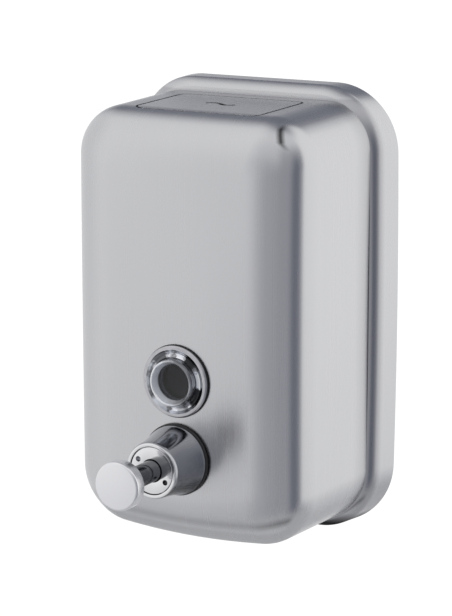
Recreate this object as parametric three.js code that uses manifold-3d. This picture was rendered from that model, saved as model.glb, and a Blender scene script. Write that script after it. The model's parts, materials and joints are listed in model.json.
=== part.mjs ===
// Wall mounted soap dispenser: a drawn stainless tank on a shallow back pan, with a hinged
// filler lid, a round sight window and a push valve with a spring-loaded plunger.
// Millimetres. Origin at the middle of the wall plane: +X to the right of a person facing the
// dispenser, +Y into the wall, +Z up. The front of the dispenser faces -Y.
import * as THREE from 'three';
import { mergeVertices } from 'three/addons/utils/BufferGeometryUtils.js';
import Module from 'manifold-3d';

const wasm = await Module();
wasm.setup();

// ---- Driving dimensions -------------------------------------------------------------------

const GAP = 0.3; // clearance between pieces that touch
const SHEET = 1.2; // stainless sheet of shell, pan and lid

const SHELL = {
  width: 124.7,
  height: 199.7,
  topRadius: 22.5,
  bottomRadius: 24.5,
  sideBow: 0,
  bottomBow: 5, // the bottom edge hangs this much lower in the middle
  front: -87.7, // front face
  rear: -16.7, // where it meets the pan
  edge: 21, // radius of the rounded edge round the front face
  sideDraft: 1.15, // how far each side leans in between the rear edge and the rounded edge
  topDraft: 1.15,
  centreZ: 0,
};

const PAN = {
  width: 136.5,
  height: 214.8,
  topRadius: 31.5,
  bottomRadius: 32.8,
  sideBow: 1.4,
  bottomBow: 0.3,
  front: -16.7, // front of the pan's floor, which closes the tank
  rear: 0,
  edge: 5,
  sideDraft: 2.7,
  topDraft: 0,
  centreZ: -0.9,
};

const LID = {
  width: 65,
  front: -70.5,
  rear: -26,
  cornerRadius: 4,
  slot: 0.5, // open line at its front and sides
  rearSlot: 0.9,
};

const HINGE = { y: -37, z: 94.6, pinRadius: 1.5, barrelRadius: 3, earX: 34 };

const KEY_SLOT = { y: -47.3, width: 1.8 };

const WINDOW = {
  z: -24.3,
  flangeRadius: 16.9,
  flangeThickness: 1.1,
  gasketRadius: 17.2,
  gasketThickness: 0.5,
  dishRadius: 15.1, // polished groove between the flat ring and the lens
  dishDepth: 1.5,
  tubeRadius: 15.2,
  tubeRear: -78,
  lensRadius: 11.2, // the raised part of the lens
  lensFlangeRadius: 13.6, // behind the bezel
  nutRadius: 18.4,
};

const VALVE = {
  z: -61.5,
  gasketRadius: 17,
  gasketThickness: 1.4,
  baseRadius: 16.4,
  mouthRadius: 13.3,
  length: 22.9, // from the shell's front face to the valve's mouth
  tubeRadius: 10, // threaded tube that goes back into the tank
  boreRadius: 8.5,
  tubeRear: -42,
};

const BUTTON = { radius: 11.3, front: -140.3, thickness: 6.2 };
const STEM_RADIUS = 5;

const BRACKET = { width: 84, top: 92, bottom: -93.5, thickness: 2, screwX: 30, screwZ: 55 };
const BRACKET_TAB = { halfWidth: 12, front: -13 };
const SCREW = { shank: 2.2, hole: 2.6, head: 4.4, headHeight: 3, cross: 0.5 };
const LOCK_SCREW = { y: -8, radius: 2, headRadius: 3.5, headHeight: 2.3, slot: 0.5 };
const THROUGH_TOP = [60, 120]; // a cut over these heights goes through the top of the tank

// ---- Materials ----------------------------------------------------------------------------

const material = (color, roughness, metalness) =>
  new THREE.MeshStandardMaterial({ color, roughness, metalness });

const materials = {
  brushed: material(0xc2c2c6, 0.35, 1),
  chrome: material(0xdcdcdf, 0.08, 1),
  satin: material(0xd2d2d4, 0.28, 1),
  zinc: material(0xa9abae, 0.4, 1),
  rubber: material(0x141416, 0.7, 0),
  clear: new THREE.MeshStandardMaterial({ color: 0xdfe3e4, roughness: 0.1, metalness: 0, opacity: 0.4 }),
  plastic: material(0xd8d8d2, 0.5, 0),
};

const dispenser = new THREE.Group();

// ---- Solids -------------------------------------------------------------------------------

// Turns a closed three.js geometry into a solid, with coincident vertices joined and its
// faces pointing out.
function solid(geometry) {
  const bare = new THREE.BufferGeometry();
  bare.setAttribute('position', geometry.getAttribute('position').clone());
  if (geometry.index) {
    bare.setIndex(geometry.index.clone());
  }
  const merged = mergeVertices(bare, 1e-4);
  const vertProperties = new Float32Array(merged.getAttribute('position').array);
  const corner = (i) => new THREE.Vector3().fromArray(vertProperties, 3 * i);
  const triangles = [];
  let volume = 0;
  const index = merged.index.array;
  for (let i = 0; i < index.length; i += 3) {
    const [a, b, c] = [index[i], index[i + 1], index[i + 2]];
    if (a !== b && b !== c && c !== a) {
      triangles.push([a, b, c]);
      volume += corner(a).dot(corner(b).cross(corner(c)));
    }
  }
  const outward = volume > 0 ? triangles : triangles.map(([a, b, c]) => [a, c, b]);
  const triVerts = new Uint32Array(outward.flat());
  return new wasm.Manifold(new wasm.Mesh({ numProp: 3, vertProperties, triVerts }));
}

// Adds a solid to the dispenser as a named piece.
function piece(name, shape, look) {
  const mesh = shape.getMesh();
  const geometry = new THREE.BufferGeometry();
  geometry.setAttribute('position', new THREE.BufferAttribute(mesh.vertProperties, 3));
  geometry.setIndex(new THREE.BufferAttribute(mesh.triVerts, 1));
  geometry.computeVertexNormals();
  const result = new THREE.Mesh(geometry, look);
  result.name = name;
  dispenser.add(result);
}

// A box between two opposite corners.
function box(x0, x1, y0, y1, z0, z1) {
  const geometry = new THREE.BoxGeometry(x1 - x0, y1 - y0, z1 - z0);
  return solid(geometry.translate((x0 + x1) / 2, (y0 + y1) / 2, (z0 + z1) / 2));
}

// A profile of [radius, y] points turned about the line through (x, z) parallel to Y.
function turned(profile, z, x = 0, segments = 32) {
  const points = profile.map(([radius, y]) => new THREE.Vector2(radius, y));
  return solid(new THREE.LatheGeometry(points, segments).translate(x, 0, z));
}

// A round ring or, with no inner radius, a round bar between two values of y.
function ring(outer, inner, y0, y1, z, x = 0, segments = 32) {
  const profile = [[inner, y0], [outer, y0], [outer, y1], [inner, y1]];
  if (inner > 0) {
    profile.push([inner, y0]);
  }
  return turned(profile, z, x, segments);
}

// A round bar parallel to X.
function barX(radius, x0, x1, y, z, segments = 16) {
  const geometry = new THREE.CylinderGeometry(radius, radius, x1 - x0, segments);
  return solid(geometry.rotateZ(Math.PI / 2).translate((x0 + x1) / 2, y, z));
}

// A round bar parallel to Z.
function barZ(radius, z0, z1, x, y, segments = 16) {
  const geometry = new THREE.CylinderGeometry(radius, radius, z1 - z0, segments);
  return solid(geometry.rotateX(Math.PI / 2).translate(x, y, (z0 + z1) / 2));
}

// A closed outline of [y, z] points drawn out along X.
function extrudedX(outline, x0, x1) {
  const shape = new THREE.Shape(outline.map(([y, z]) => new THREE.Vector2(y, z)));
  const geometry = new THREE.ExtrudeGeometry(shape, { depth: x1 - x0, bevelEnabled: false });
  const toYZ = new THREE.Matrix4().makeBasis(
    new THREE.Vector3(0, 1, 0), new THREE.Vector3(0, 0, 1), new THREE.Vector3(1, 0, 0));
  return solid(geometry.applyMatrix4(toYZ).translate(x0, 0, 0));
}

// A rounded rectangle in plan, cut straight through along Z.
function prismZ(x0, x1, y0, y1, radius, z0, z1) {
  const shape = new THREE.Shape();
  shape.moveTo(x0 + radius, y0);
  shape.absarc(x1 - radius, y0 + radius, radius, -Math.PI / 2, 0);
  shape.absarc(x1 - radius, y1 - radius, radius, 0, Math.PI / 2);
  shape.absarc(x0 + radius, y1 - radius, radius, Math.PI / 2, Math.PI);
  shape.absarc(x0 + radius, y0 + radius, radius, Math.PI, 1.5 * Math.PI);
  const options = { depth: z1 - z0, bevelEnabled: false, curveSegments: 5 };
  return solid(new THREE.ExtrudeGeometry(shape, options).translate(0, 0, z0));
}

// A rounded strip that follows a flat path in plan, cut straight through along Z.
function stripZ(points, width, z0, z1) {
  const curve = new THREE.CatmullRomCurve3(points.map(([x, y]) => new THREE.Vector3(x, y, 0)));
  const steps = 12;
  const left = [];
  const right = [];
  for (let i = 0; i <= steps; i++) {
    const at = curve.getPoint(i / steps);
    const along = curve.getTangent(i / steps);
    left.push(new THREE.Vector2(at.x - along.y * width / 2, at.y + along.x * width / 2));
    right.unshift(new THREE.Vector2(at.x + along.y * width / 2, at.y - along.x * width / 2));
  }
  const shape = new THREE.Shape([...left, ...right]);
  const options = { depth: z1 - z0, bevelEnabled: false };
  return solid(new THREE.ExtrudeGeometry(shape, options).translate(0, 0, z0));
}

// A coil spring along Y: closed tube of round wire.
class Helix extends THREE.Curve {
  constructor(radius, length, turns) {
    super();
    Object.assign(this, { radius, length, turns });
  }

  getPoint(t, target = new THREE.Vector3()) {
    const angle = 2 * Math.PI * this.turns * t;
    return target.set(this.radius * Math.cos(angle), this.length * t, this.radius * Math.sin(angle));
  }
}

function coil(radius, wire, y0, y1, turns, x, z) {
  const section = new THREE.Shape().absarc(0, 0, wire, 0, 2 * Math.PI);
  const extrudePath = new Helix(radius, y1 - y0 - 2 * wire, turns);
  const options = { steps: 9 * turns, curveSegments: 3, bevelEnabled: false, extrudePath };
  return solid(new THREE.ExtrudeGeometry(section, options).translate(x, y0 + wire, z));
}

// ---- Drawn sheet: shell and pan -----------------------------------------------------------

// The outline of a drawn body seen from the front: a rounded rectangle whose sides bow out and
// whose bottom edge hangs down, all set in by the same distance.
function bowedOutline(body, inset) {
  const halfWidth = body.width / 2 - inset;
  const halfHeight = body.height / 2 - inset;
  const corners = [
    { sx: 1, sz: -1, start: -90, radius: body.bottomRadius - inset },
    { sx: 1, sz: 1, start: 0, radius: body.topRadius - inset },
    { sx: -1, sz: 1, start: 90, radius: body.topRadius - inset },
    { sx: -1, sz: -1, start: 180, radius: body.bottomRadius - inset },
  ];
  const cornerSteps = 7;
  const straightSteps = 5;
  const points = [];
  corners.forEach(({ sx, sz, start, radius }, k) => {
    for (let i = 0; i <= cornerSteps; i++) {
      const angle = THREE.MathUtils.degToRad(start + (90 * i) / cornerSteps);
      points.push(new THREE.Vector2(
        sx * (halfWidth - radius) + radius * Math.cos(angle),
        sz * (halfHeight - radius) + radius * Math.sin(angle)));
    }
    const from = points[points.length - 1];
    const next = corners[(k + 1) % 4];
    const turn = THREE.MathUtils.degToRad(next.start);
    const to = new THREE.Vector2(
      next.sx * (halfWidth - next.radius) + next.radius * Math.cos(turn),
      next.sz * (halfHeight - next.radius) + next.radius * Math.sin(turn));
    for (let i = 1; i < straightSteps; i++) {
      points.push(from.clone().lerp(to, i / straightSteps));
    }
  });
  for (const point of points) {
    const across = 1 - (point.x / halfWidth) ** 2;
    const upright = 1 - (point.y / halfHeight) ** 2;
    point.x += Math.sign(point.x) * body.sideBow * upright;
    point.y -= point.y < 0 ? body.bottomBow * across : 0;
  }
  return points;
}

// The full solid of a drawn body from y = rear to its front, with its rounded front edge.
function drawnBlock(body, inset, rear) {
  const front = body.front + inset;
  const edge = body.edge - inset;
  const shape = new THREE.Shape(bowedOutline(body, inset));
  const geometry = new THREE.ExtrudeGeometry(shape, {
    depth: rear - front,
    bevelEnabled: true,
    bevelThickness: edge,
    bevelSize: edge,
    bevelOffset: -edge,
    bevelSegments: 6,
  });
  geometry.rotateX(Math.PI / 2).translate(0, rear + edge, 0);
  const positions = geometry.getAttribute('position');
  const straight = body.rear - body.front - body.edge;
  for (let i = 0; i < positions.count; i++) {
    const lean = Math.min(1, (body.rear - positions.getY(i)) / straight);
    positions.setX(i, positions.getX(i) * (1 - (body.sideDraft * lean) / (body.width / 2)));
    positions.setZ(i, positions.getZ(i) * (1 - (body.topDraft * lean) / (body.height / 2)));
  }
  geometry.translate(0, 0, body.centreZ);
  const reach = body.height;
  return solid(geometry).intersect(box(-reach, reach, -reach, rear, -reach, reach));
}

// A layer of the shell's wall between two depths below its outer surface.
function shellLayer(outerInset, innerInset) {
  return drawnBlock(SHELL, outerInset, PAN.front - GAP).subtract(drawnBlock(SHELL, innerInset, 0));
}

// A plan outline of the filler lid, grown by the width of the slot round it.
function lidPrism(grow, rearGrow) {
  const half = LID.width / 2 + grow;
  const radius = LID.cornerRadius + grow;
  return prismZ(-half, half, LID.front - grow, LID.rear + rearGrow, radius, ...THROUGH_TOP);
}

function frontShell() {
  const [ahead, behind] = [SHELL.front - SHELL.edge, SHELL.front + SHELL.edge];
  const windowHole = ring(WINDOW.tubeRadius + GAP, 0, ahead, behind, WINDOW.z);
  const valveHole = ring(VALVE.tubeRadius + GAP, 0, ahead, behind, VALVE.z);
  const fillerHole = lidPrism(LID.slot, LID.rearSlot);
  return shellLayer(0, SHEET).subtract(windowHole).subtract(valveHole).subtract(fillerHole);
}

function backPan() {
  const skirt = -PAN.height / 2;
  const lockHole = barZ(LOCK_SCREW.radius + GAP, skirt - 10, skirt + 10, 0, LOCK_SCREW.y);
  const hollow = drawnBlock(PAN, SHEET, SHEET);
  return drawnBlock(PAN, 0, -GAP).subtract(hollow).subtract(lockHole);
}

piece('front_shell', frontShell(), materials.brushed);
piece('back_pan', backPan(), materials.brushed);

// ---- Wall bracket, its screws and the channel that hangs on it -------------------------------

const HOOK = { rear: -6.5, front: -8, bottom: 66, top: 82.2 };
const RAIL_HALF_WIDTH = 35;
const PAN_FLOOR_REAR = PAN.front + SHEET;

function wallBracket() {
  const half = BRACKET.width / 2;
  const face = -BRACKET.thickness;
  const sheet = HOOK.rear - HOOK.front;
  let bracket = box(-half, half, face, 0, BRACKET.bottom, BRACKET.top);
  bracket = bracket.add(box(-half, half, HOOK.front, face, HOOK.bottom, HOOK.bottom + sheet));
  bracket = bracket.add(box(-half, half, HOOK.front, HOOK.rear, HOOK.bottom, HOOK.top));
  const tab = BRACKET_TAB;
  const tabTop = BRACKET.bottom + sheet;
  bracket = bracket.add(box(-tab.halfWidth, tab.halfWidth, tab.front, face, BRACKET.bottom, tabTop));
  const lockHole = barZ(LOCK_SCREW.radius + GAP, BRACKET.bottom - 1, tabTop + 1, 0, LOCK_SCREW.y);
  bracket = bracket.subtract(lockHole);
  for (const x of [-BRACKET.screwX, BRACKET.screwX]) {
    for (const z of [-BRACKET.screwZ, BRACKET.screwZ]) {
      bracket = bracket.subtract(ring(SCREW.hole, 0, face - 1, 1, z, x, 16));
    }
  }
  return bracket;
}

// A pan-head screw in the bracket, cut off where its shank enters the wall.
function bracketScrew(x, z) {
  const { shank, head, headHeight, cross } = SCREW;
  const face = -BRACKET.thickness - GAP;
  const top = face - headHeight;
  const middle = face - headHeight / 2;
  const profile = [
    [0, top], [shank, top], [head, middle], [head, face], [shank, face], [shank, 0], [0, 0],
  ];
  const across = box(x - shank, x + shank, top - 1, middle, z - cross, z + cross);
  const upright = box(x - cross, x + cross, top - 1, middle, z - shank, z + shank);
  return turned(profile, z, x, 16).subtract(across).subtract(upright);
}

// The channel welded behind the pan's floor; its lip drops behind the bracket's hook.
function hangerRail() {
  const weld = PAN_FLOOR_REAR + GAP;
  const sheet = 1.5;
  const lip = HOOK.rear + 1.3;
  const top = HOOK.top + GAP + sheet;
  return extrudedX([
    [weld, 56], [weld, top], [lip + sheet, top], [lip + sheet, 70], [lip, 70],
    [lip, top - sheet], [weld + sheet, top - sheet], [weld + sheet, 56],
  ], -RAIL_HALF_WIDTH, RAIL_HALF_WIDTH);
}

// Goes up through the pan's bottom skirt into the bracket's tab.
function lockScrew() {
  const { y, radius, headRadius, headHeight, slot } = LOCK_SCREW;
  const skirt = -(PAN.height / 2) - PAN.bottomBow + PAN.centreZ;
  const shank = barZ(radius, skirt - GAP, BRACKET.bottom + 4, 0, y);
  const bottom = skirt - GAP - headHeight;
  const head = barZ(headRadius, bottom, skirt - GAP, 0, y);
  const drive = box(-slot, slot, y - headRadius - 1, y + headRadius + 1, bottom - 1, bottom + 1);
  return shank.add(head).subtract(drive);
}

piece('wall_bracket', wallBracket(), materials.zinc);
let screwNumber = 0;
for (const z of [BRACKET.screwZ, -BRACKET.screwZ]) {
  for (const x of [-BRACKET.screwX, BRACKET.screwX]) {
    screwNumber += 1;
    piece(`bracket_screw_${screwNumber}`, bracketScrew(x, z), materials.zinc);
  }
}
piece('hanger_rail', hangerRail(), materials.zinc);
piece('lock_screw', lockScrew(), materials.zinc);

// ---- Filler lid, its hinge and its catch ----------------------------------------------------

const LEAF = { halfWidth: 26, front: -62, rear: -33 };
const KNUCKLE = { inner: 21, outer: 30 };
const EAR = { front: -43, rear: -31, toe: 9 };
const BOLT = {
  front: -70.4,
  shoulder: -60,
  rear: -45.4,
  bottom: 92,
  top: 95,
  halfWidth: 8.5,
  tailRight: 3,
};
const GUIDE = { rear: -41, front: -59.5, bottom: 90.6, top: 95.7, sheet: 1 };

function fillerLid() {
  const y = KEY_SLOT.y;
  const squiggle = [[-8, y - 0.2], [-5, y + 0.7], [-2, y + 2], [2, y - 2], [5, y - 0.7], [8, y + 0.2]];
  const keySlot = stripZ(squiggle, KEY_SLOT.width, ...THROUGH_TOP);
  return shellLayer(0, SHEET).intersect(lidPrism(0, 0)).subtract(keySlot);
}

// The leaf under the lid, rolled into two knuckles round the hinge pin.
function lidLeaf() {
  const { halfWidth, front, rear } = LEAF;
  let leaf = shellLayer(SHEET + GAP, 2 * SHEET + GAP)
    .intersect(prismZ(-halfWidth, halfWidth, front, rear, 2, ...THROUGH_TOP));
  for (const side of [-1, 1]) {
    const [x0, x1] = [side * KNUCKLE.inner, side * KNUCKLE.outer].sort((a, b) => a - b);
    leaf = leaf.add(barX(HINGE.barrelRadius, x0, x1, HINGE.y, HINGE.z));
  }
  const pinHole = barX(HINGE.pinRadius + GAP, -40, 40, HINGE.y, HINGE.z);
  const keyWindow = box(-9.5, 9.5, KEY_SLOT.y - 4, KEY_SLOT.y + 4, ...THROUGH_TOP);
  return leaf.subtract(pinHole).subtract(keyWindow);
}

// One of the two lugs welded under the shell's top beside the filler opening.
function hingeEar(side) {
  const ascending = (a, b) => [side * a, side * b].sort((low, high) => low - high);
  const [lugLeft, lugRight] = ascending(HINGE.earX, HINGE.earX + SHEET);
  const [footLeft, footRight] = ascending(HINGE.earX, HINGE.earX + EAR.toe);
  const foot = shellLayer(SHEET + GAP, 2 * SHEET + GAP)
    .intersect(prismZ(footLeft, footRight, EAR.front, EAR.rear, 1.5, ...THROUGH_TOP));
  const lug = drawnBlock(SHELL, SHEET + 2 * GAP, PAN.front - GAP)
    .intersect(box(lugLeft, lugRight, EAR.front, EAR.rear, 90, 110));
  return foot.add(lug).subtract(barX(HINGE.pinRadius + GAP, -45, 45, HINGE.y, HINGE.z));
}

// The open-fronted box under the leaf in which the latch bolt slides.
function latchGuide() {
  const { rear, front, bottom, top, sheet } = GUIDE;
  const half = BOLT.halfWidth + GAP;
  const outside = box(-half - sheet, half + sheet, front, rear, bottom, top);
  return outside.subtract(box(-half, half, front - 5, rear - sheet, bottom + sheet, top + 5));
}

// The latch bolt: a broad nose behind the lid's front edge and a tail with a key notch.
function latchBolt() {
  const { front, shoulder, rear, bottom, top, halfWidth, tailRight } = BOLT;
  const chamfer = 1.2;
  const nose = box(-halfWidth, halfWidth, front, shoulder, bottom, top);
  const tail = box(-halfWidth, tailRight, shoulder - 1, rear, bottom, top);
  const wedge = [[front - 1, top - chamfer], [front - 1, top + 1], [front + 2 * chamfer, top + 1]];
  const slope = extrudedX(wedge, -2 * halfWidth, 2 * halfWidth);
  const notch = box(-6.5, 1, KEY_SLOT.y - 3, KEY_SLOT.y + 0.4, bottom - 1, top + 1);
  return nose.add(tail).subtract(slope).subtract(notch);
}

piece('filler_lid', fillerLid(), materials.brushed);
piece('lid_leaf', lidLeaf(), materials.brushed);
piece('hinge_pin', barX(HINGE.pinRadius, -37.5, 37.5, HINGE.y, HINGE.z), materials.zinc);
piece('hinge_ear_left', hingeEar(-1), materials.brushed);
piece('hinge_ear_right', hingeEar(1), materials.brushed);
piece('latch_guide', latchGuide(), materials.zinc);
piece('latch_bolt', latchBolt(), materials.zinc);
const springX = (BOLT.tailRight + BOLT.halfWidth) / 2;
const springZ = (BOLT.bottom + BOLT.top) / 2;
const [springFront, springRear] = [BOLT.shoulder + GAP, GUIDE.rear - GUIDE.sheet - GAP];
piece('latch_spring', coil(1.5, 0.3, springFront, springRear, 8, springX, springZ), materials.chrome);

// ---- Sight window ---------------------------------------------------------------------------

const SHELL_INSIDE = SHELL.front + SHEET;
const GASKET_FRONT = SHELL.front - GAP - WINDOW.gasketThickness;
const FLANGE_REAR = GASKET_FRONT - GAP;
const FLANGE_FRONT = FLANGE_REAR - WINDOW.flangeThickness;
const LENS_SEAT = FLANGE_FRONT + 3.6;

// A flanged tube with a dished groove round the lens, which sits behind it on a shoulder.
function windowBezel() {
  const { flangeRadius, dishRadius, dishDepth, tubeRadius, tubeRear, lensFlangeRadius } = WINDOW;
  const lensHole = WINDOW.lensRadius + GAP;
  const bore = lensFlangeRadius + GAP;
  const front = FLANGE_FRONT;
  return turned([
    [lensHole, front + 0.5], [lensHole + 0.9, front + dishDepth - 0.1],
    [(lensHole + dishRadius) / 2 + 0.3, front + dishDepth], [dishRadius - 0.8, front + 0.9],
    [dishRadius, front], [flangeRadius - 0.7, front], [flangeRadius, front + 0.6],
    [flangeRadius, FLANGE_REAR], [tubeRadius, FLANGE_REAR], [tubeRadius, tubeRear], [bore, tubeRear],
    [bore, LENS_SEAT], [lensHole, LENS_SEAT], [lensHole, front + 0.5],
  ], WINDOW.z, 0, 36);
}

// A clear cup: a raised round rim round a sunk flat in front, and a thin flange behind.
function windowLens() {
  const { lensRadius, lensFlangeRadius } = WINDOW;
  const rim = FLANGE_FRONT - 3.9;
  const floor = FLANGE_FRONT - 0.1;
  const flange = LENS_SEAT + GAP;
  const rear = flange + 1.8;
  return turned([
    [0, floor], [8.5, floor], [9.3, rim + 0.7], [10.1, rim], [10.7, rim + 0.3], [lensRadius, rim + 2],
    [lensRadius, flange], [lensFlangeRadius, flange], [lensFlangeRadius, rear], [0, rear],
  ], WINDOW.z, 0, 36);
}

piece('window_gasket', ring(WINDOW.gasketRadius, WINDOW.tubeRadius + GAP, GASKET_FRONT,
  SHELL.front - GAP, WINDOW.z, 0, 36), materials.rubber);
piece('window_bezel', windowBezel(), materials.chrome);
piece('window_lens', windowLens(), materials.clear);
piece('window_nut', ring(WINDOW.nutRadius, WINDOW.tubeRadius + GAP, SHELL_INSIDE + GAP,
  SHELL_INSIDE + GAP + 4, WINDOW.z, 0, 24), materials.plastic);

// ---- Push valve -----------------------------------------------------------------------------

const VALVE_BASE = SHELL.front - GAP - VALVE.gasketThickness - GAP;
const MOUTH = SHELL.front - VALVE.length;
const RING = { outer: 11.1, inner: STEM_RADIUS + GAP, thickness: 3, pinRadius: 1.25, pinCircle: 8.5 };
const PISTON = { front: -84, rear: -76, radius: VALVE.boreRadius - GAP };
const OUTLET = { y: -98, radius: 2.6 };

// The turned valve body: flared nose in front, threaded tube behind, bore right through, and
// the soap outlet drilled in its underside.
function valveBody() {
  const { baseRadius, mouthRadius, tubeRadius, boreRadius, tubeRear } = VALVE;
  const recess = RING.outer + GAP;
  const body = turned([
    [recess, MOUTH], [mouthRadius - 0.6, MOUTH], [mouthRadius, MOUTH + 0.6],
    [mouthRadius + 0.5, MOUTH + 5], [mouthRadius + 1.3, MOUTH + 11], [baseRadius - 0.6, VALVE_BASE - 3],
    [baseRadius, VALVE_BASE - 0.8], [baseRadius, VALVE_BASE], [tubeRadius, VALVE_BASE],
    [tubeRadius, tubeRear], [boreRadius, tubeRear], [boreRadius, MOUTH + RING.thickness + 0.7],
    [recess, MOUTH + RING.thickness + 0.7], [recess, MOUTH],
  ], VALVE.z, 0, 36);
  return body.subtract(barZ(OUTLET.radius, VALVE.z - 25, VALVE.z - 4, 0, OUTLET.y));
}

// The screwed disc in the mouth, with two holes for a pin spanner.
function retainingRing() {
  const front = MOUTH + 0.4;
  let disc = ring(RING.outer, RING.inner, front, front + RING.thickness, VALVE.z);
  for (const turn of [147, 327]) {
    const angle = THREE.MathUtils.degToRad(turn);
    const x = RING.pinCircle * Math.cos(angle);
    const z = VALVE.z + RING.pinCircle * Math.sin(angle);
    disc = disc.subtract(ring(RING.pinRadius, 0, front - 1, front + 1.8, z, x, 12));
  }
  return disc;
}

// Stem and piston turned in one, with a groove for the seal and a bleed passage to the front.
function plungerStem() {
  const stemFront = BUTTON.front + BUTTON.thickness - 4;
  const groove = PISTON.radius - 1.8;
  const stem = turned([
    [0, stemFront], [STEM_RADIUS - 0.5, stemFront], [STEM_RADIUS, stemFront + 0.5],
    [STEM_RADIUS, PISTON.front], [PISTON.radius, PISTON.front], [PISTON.radius, PISTON.front + 2],
    [groove, PISTON.front + 2], [groove, PISTON.rear - 2.4], [PISTON.radius, PISTON.rear - 2.4],
    [PISTON.radius, PISTON.rear], [0, PISTON.rear],
  ], VALVE.z, 0, 24);
  const passage = ring(1.4, 0, PISTON.front - 6, PISTON.rear + 1, VALVE.z, 0, 12);
  const cross = barZ(1.4, VALVE.z - 8, VALVE.z, 0, PISTON.front - 5, 12);
  return stem.subtract(passage).subtract(cross);
}

// The round button, with rounded edges and a blind hole for the stem.
function pushButton() {
  const { radius, front, thickness } = BUTTON;
  const rear = front + thickness;
  const socket = STEM_RADIUS + GAP;
  return turned([
    [0, front], [radius - 1.1, front], [radius - 0.3, front + 0.35], [radius, front + 1.2],
    [radius, rear - 0.8], [radius - 0.8, rear], [socket, rear], [socket, rear - 4 - GAP],
    [0, rear - 4 - GAP],
  ], VALVE.z);
}

// The hexagon nut behind the shell.
function valveNut() {
  const front = SHELL_INSIDE + GAP + 1.5 + GAP;
  const hexagon = turned([[0, front], [15.4, front], [15.4, front + 6], [0, front + 6]], VALVE.z, 0, 6);
  return hexagon.subtract(ring(VALVE.tubeRadius + GAP, 0, front - 1, front + 7, VALVE.z));
}

// The inlet: a plug in the rear of the tube, with the check ball's seat and an open pocket.
function inletCap() {
  const plug = VALVE.boreRadius - GAP;
  const [front, seat, rear] = [VALVE.tubeRear - 7, VALVE.tubeRear - 1, VALVE.tubeRear + 1.5];
  const flange = VALVE.tubeRadius - 0.5;
  return turned([
    [3.8, front], [plug, front], [plug, VALVE.tubeRear + GAP], [flange, VALVE.tubeRear + GAP],
    [flange, rear], [2.2, rear], [2.2, seat], [3.8, seat - 1.6], [3.8, front],
  ], VALVE.z, 0, 24);
}

const BALL_RADIUS = 3.2;
const ballY = VALVE.tubeRear - 1 - 1.6 - 1.9;

function checkBall() {
  return solid(new THREE.SphereGeometry(BALL_RADIUS, 16, 8).translate(0, ballY, VALVE.z));
}

piece('valve_gasket', ring(VALVE.gasketRadius, VALVE.tubeRadius + GAP, VALVE_BASE + GAP,
  SHELL.front - GAP, VALVE.z, 0, 36), materials.rubber);
piece('valve_body', valveBody(), materials.chrome);
piece('retaining_ring', retainingRing(), materials.chrome);
piece('plunger_stem', plungerStem(), materials.chrome);
piece('push_button', pushButton(), materials.satin);
piece('piston_seal', ring(VALVE.boreRadius - 0.12, PISTON.radius - 1.5, PISTON.front + 2 + GAP,
  PISTON.rear - 2.4 - GAP, VALVE.z), materials.rubber);
piece('valve_washer', ring(13.5, VALVE.tubeRadius + GAP, SHELL_INSIDE + GAP,
  SHELL_INSIDE + GAP + 1.5, VALVE.z), materials.rubber);
piece('valve_nut', valveNut(), materials.zinc);
piece('inlet_cap', inletCap(), materials.plastic);
piece('check_ball', checkBall(), materials.chrome);
piece('return_spring', coil(6.2, 0.6, PISTON.rear + GAP, VALVE.tubeRear - 7 - GAP, 8, 0, VALVE.z),
  materials.chrome);

export default dispenser;
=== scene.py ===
"""Looks of the wall mounted soap dispenser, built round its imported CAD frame.

Metres. The origin is the middle of the wall plane, +X to the viewer's right, +Y into the wall,
+Z up; the dispenser faces -Y.
"""

import json
import math

import bmesh
import bpy
from mathutils import Matrix, Vector


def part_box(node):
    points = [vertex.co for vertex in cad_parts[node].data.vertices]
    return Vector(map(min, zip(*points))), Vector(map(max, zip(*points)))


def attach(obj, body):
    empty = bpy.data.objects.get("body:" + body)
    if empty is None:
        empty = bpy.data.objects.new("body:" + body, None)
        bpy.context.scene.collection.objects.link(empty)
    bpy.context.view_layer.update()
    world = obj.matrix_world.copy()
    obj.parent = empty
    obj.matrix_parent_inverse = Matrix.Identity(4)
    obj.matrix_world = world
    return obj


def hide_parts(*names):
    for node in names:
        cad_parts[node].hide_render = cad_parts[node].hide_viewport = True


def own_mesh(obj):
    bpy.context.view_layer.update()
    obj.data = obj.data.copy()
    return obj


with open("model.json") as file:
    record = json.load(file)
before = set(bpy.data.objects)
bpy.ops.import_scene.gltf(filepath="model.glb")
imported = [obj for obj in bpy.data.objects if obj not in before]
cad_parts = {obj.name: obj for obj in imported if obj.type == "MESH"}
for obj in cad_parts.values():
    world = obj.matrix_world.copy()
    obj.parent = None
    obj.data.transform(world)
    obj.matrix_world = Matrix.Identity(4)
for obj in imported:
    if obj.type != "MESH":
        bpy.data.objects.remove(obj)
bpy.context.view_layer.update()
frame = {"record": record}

MM = 0.001
SHEET = 1.2 * MM
THROUGH_TOP = (0.08, 0.12)  # a cut between these heights goes through the tank's top


# ---- Measurements taken from the frame ----

def low(node):
    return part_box(node)[0]


def high(node):
    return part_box(node)[1]


def middle(node):
    return (low(node) + high(node)) / 2


# ---- Mesh helpers ----

def add_object(name, mesh):
    piece = bpy.data.objects.new(name, mesh)
    bpy.context.scene.collection.objects.link(piece)
    return piece


def smooth(piece):
    """Smooth shading, with edges sharper than 30 degrees kept crisp."""
    piece.data.shade_smooth()
    piece.data.set_sharp_from_angle(angle=math.radians(30))
    return piece


def close_up(mesh, distance):
    """Joins vertices that lie together and turns every face outwards."""
    work = bmesh.new()
    work.from_mesh(mesh)
    bmesh.ops.remove_doubles(work, verts=work.verts, dist=distance)
    bmesh.ops.recalc_face_normals(work, faces=work.faces)
    work.to_mesh(mesh)
    work.free()


def mesh_object(name, vertices, faces):
    mesh = bpy.data.meshes.new(name)
    mesh.from_pydata([tuple(v) for v in vertices], [], faces)
    close_up(mesh, 1e-7)
    return smooth(add_object(name, mesh))


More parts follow.
